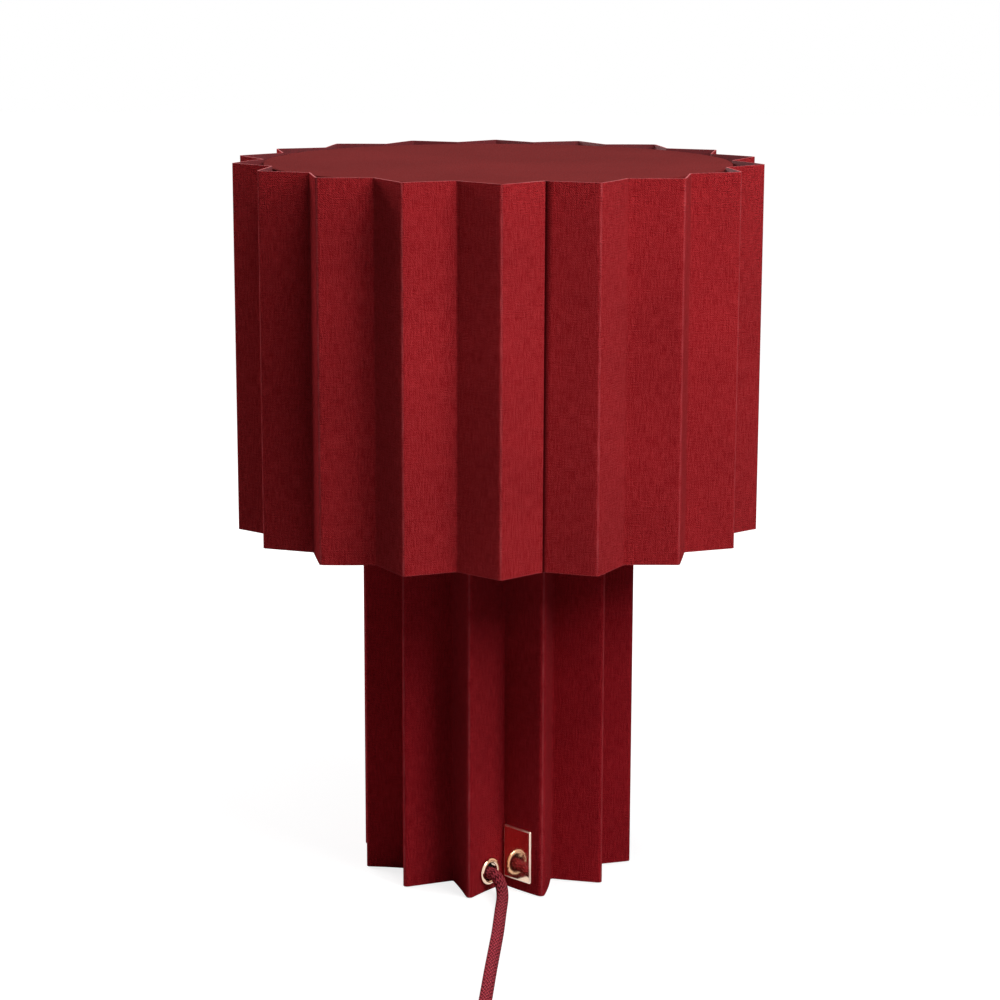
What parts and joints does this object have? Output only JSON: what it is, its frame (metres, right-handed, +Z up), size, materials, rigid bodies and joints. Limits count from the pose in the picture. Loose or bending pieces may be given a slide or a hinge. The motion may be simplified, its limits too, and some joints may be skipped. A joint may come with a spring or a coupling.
{
  "type": "pleated table lamp",
  "caption": "Table lamp of folded red book cloth: a wide pleated drum shade with a closed top on a narrower pleated column, with a braided cord, inline switch and plug.",
  "frame": {"origin": "on the floor under the middle of the column, at the underside of the felt pad", "axes": "+Z up along the axis of column and shade, -Y towards the front where the cord leaves the column, +X to the right seen from the front"},
  "size_m": [0.2674, 0.5151, 0.3712],
  "materials": {
    "pleat_cloth": "dark red book cloth on card, fine canvas weave",
    "cover_cloth": "dull red book cloth",
    "fibreboard": "raw fibreboard",
    "greyboard": "grey pulp board",
    "felt": "black needle felt",
    "iron": "black lacquered casting",
    "polished_brass": "mirror polish",
    "braided_cord": "braided red textile",
    "zinc_steel": "zinc plated",
    "enamelled_steel": "white enamel",
    "nylon": "natural nylon",
    "holder_plastic": "black moulded plastic",
    "holder_ceramic": "unglazed",
    "brass": "plain",
    "frosted_glass": "opal",
    "bulb_aluminium": "bright",
    "black_glass": "glossy insulating ring",
    "black_plastic": "fine moulded grain",
    "nickel": "nickel plated"
  },
  "bodies": {
    "base": {"brass_plate": "polished_brass", "clamp_screws": "zinc_steel", "column_pleats": "pleat_cloth", "column_top_board": "fibreboard", "column_top_cloth": "cover_cloth", "cord_clamp": "zinc_steel", "cord_coil": "braided_cord", "cord_eyelet": "polished_brass", "cord_front": "braided_cord", "cord_link": "braided_cord", "cord_tail": "braided_cord", "eyelet_washer": "polished_brass", "felt_pad": "felt", "gallery_cup": "enamelled_steel", "holder_cap": "holder_plastic", "holder_contact": "brass", "holder_insert": "holder_ceramic", "holder_shell": "brass", "holder_skirt": "holder_plastic", "inner_lead": "braided_cord", "nipple": "zinc_steel", "nipple_nut": "zinc_steel", "nipple_washer": "zinc_steel", "plug_body": "black_plastic", "plug_prongs": "nickel", "plug_sleeve": "black_plastic", "prong_sleeves": "black_plastic", "rocker_pin": "zinc_steel", "switch_blades": "brass", "switch_lower": "black_plastic", "switch_screws": "zinc_steel", "switch_upper": "black_plastic", "weight_plate": "iron"},
    "slip_ring": {"slip_ring": "nylon"},
    "shade": {"shade_frame": "enamelled_steel", "shade_pleats": "pleat_cloth", "shade_top_board": "greyboard", "shade_top_cloth": "cover_cloth"},
    "bulb": {"bulb_cap": "bulb_aluminium", "bulb_glass": "frosted_glass", "bulb_insulator": "black_glass", "bulb_tip": "bulb_aluminium"},
    "rocker": {"switch_rocker": "black_plastic"}
  },
  "joints": [
    {"name": "shade_turn", "type": "hinge", "parent": "base", "child": "slip_ring", "pos_m": [0, 0, 0.2026], "axis": [0, 0, 1], "continuous": true},
    {"name": "shade_lift", "type": "slide", "parent": "slip_ring", "child": "shade", "axis": [0, 0, 1], "range_m": [0, 0.18]},
    {"name": "bulb_out", "type": "slide", "parent": "base", "child": "bulb", "axis": [0, 0, 1], "range_m": [0, 0.026]},
    {"name": "rocker_tilt", "type": "hinge", "parent": "base", "child": "rocker", "pos_m": [-0.005, -0.29, 0.0143], "axis": [1, 0, 0], "range_deg": [0, 16]}
  ]
}
